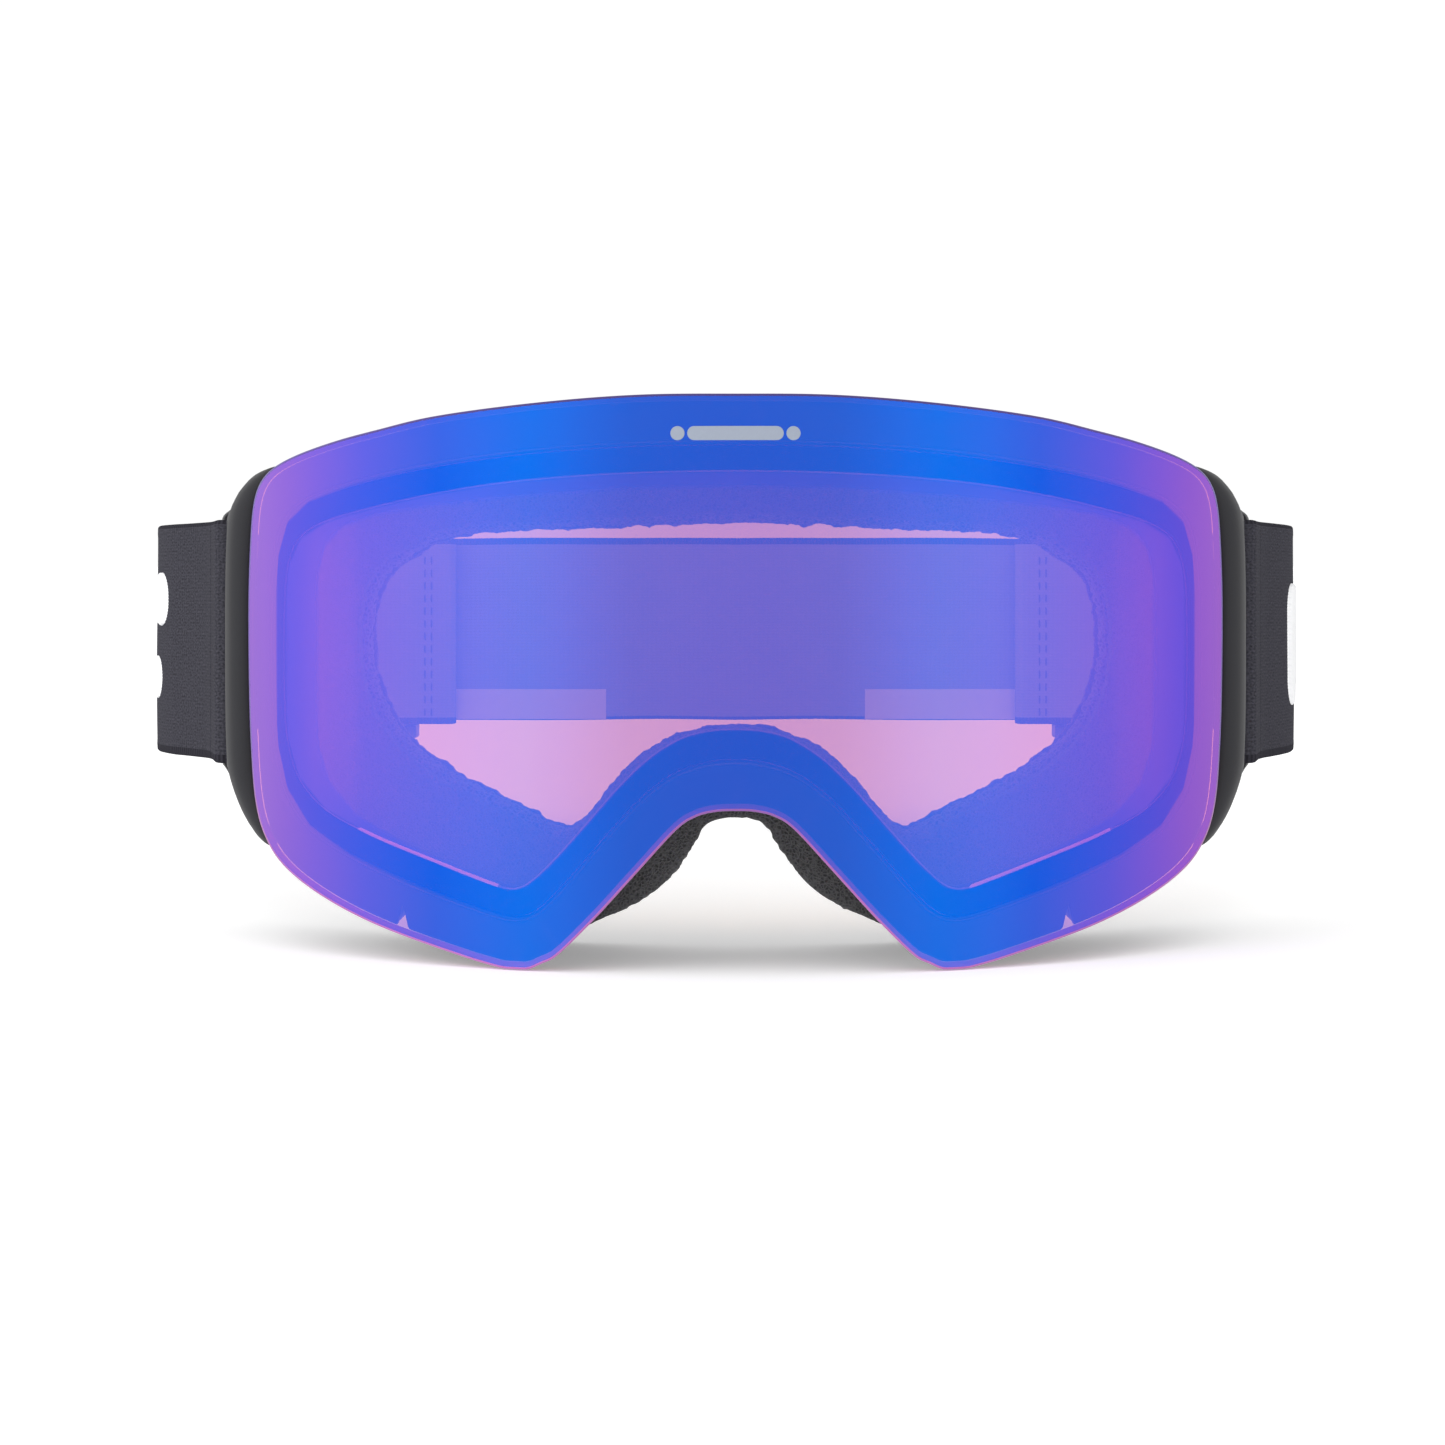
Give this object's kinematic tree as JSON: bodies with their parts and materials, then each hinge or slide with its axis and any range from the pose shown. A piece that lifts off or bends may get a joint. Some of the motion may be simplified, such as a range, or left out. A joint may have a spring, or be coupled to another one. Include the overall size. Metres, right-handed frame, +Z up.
{
  "type": "ski goggles",
  "caption": "Frameless snow goggles: a wide cylindrical mirrored double lens held by magnets on a vented soft frame with face foam, pivoting side arms and an elastic strap with adjusters.",
  "frame": {"origin": "centre of the bounding box in plan, at the level of the lens's two lowest flats", "axes": "+Z up as worn, -Y the way the wearer looks (the lens faces -Y), +X to the right seen from the front with the lens towards the viewer"},
  "size_m": [0.2278, 0.2328, 0.0931],
  "materials": {
    "mirror_lens": "blue to violet mirror coating on rose tinted polycarbonate",
    "clear_lens": "clear, anti-fog",
    "frame_plastic": "soft matte black",
    "arm_plastic": "satin charcoal",
    "black_foam": "open-cell foam",
    "fleece": "short brushed pile",
    "webbing": "ribbed woven elastic",
    "magnet_metal": "nickel plated",
    "pin_steel": "plain steel"
  },
  "bodies": {
    "frame": {"frame_shell": "frame_plastic", "frame_magnet_1": "magnet_metal", "frame_magnet_2": "magnet_metal", "frame_magnet_3": "magnet_metal", "frame_magnet_4": "magnet_metal", "frame_magnet_5": "magnet_metal", "frame_magnet_6": "magnet_metal", "vent_foam_top": "black_foam", "vent_foam_lower_left": "black_foam", "vent_foam_lower_right": "black_foam", "face_foam_base": "black_foam", "face_foam_soft": "black_foam", "face_fleece": "fleece", "hinge_pin_left": "pin_steel", "hinge_pin_right": "pin_steel", "strap_web": "webbing", "strap_return_left": "webbing", "strap_return_right": "webbing"},
    "lens": {"outer_lens": "mirror_lens", "lens_gasket": "black_foam", "inner_lens": "clear_lens", "lens_carrier": "frame_plastic", "lens_magnet_1": "magnet_metal", "lens_magnet_2": "magnet_metal", "lens_magnet_3": "magnet_metal", "lens_magnet_4": "magnet_metal", "lens_magnet_5": "magnet_metal", "lens_magnet_6": "magnet_metal"},
    "arm_left": {"side_arm_left": "arm_plastic", "strap_loop_left": "webbing"},
    "arm_right": {"side_arm_right": "arm_plastic", "strap_loop_right": "webbing"},
    "slider_left": {"strap_slider_left": "arm_plastic", "strap_fold_left": "webbing"},
    "slider_right": {"strap_slider_right": "arm_plastic", "strap_fold_right": "webbing"}
  },
  "joints": [
    {"name": "lens_release", "type": "slide", "parent": "frame", "child": "lens", "axis": [0, -1, 0], "range_m": [0, 0.06]},
    {"name": "arm_left_hinge", "type": "hinge", "parent": "frame", "child": "arm_left", "pos_m": [-0.0872, -0.06438, 0.052], "axis": [0, 0, 1], "range_deg": [0, 8]},
    {"name": "arm_right_hinge", "type": "hinge", "parent": "frame", "child": "arm_right", "pos_m": [0.0872, -0.06438, 0.052], "axis": [0, 0, -1], "range_deg": [0, 8]},
    {"name": "slider_left_slide", "type": "slide", "parent": "frame", "child": "slider_left", "axis": [1, 0, 0], "range_m": [0, 0.045]},
    {"name": "slider_right_slide", "type": "slide", "parent": "frame", "child": "slider_right", "axis": [-1, 0, 0], "range_m": [0, 0.045]}
  ]
}
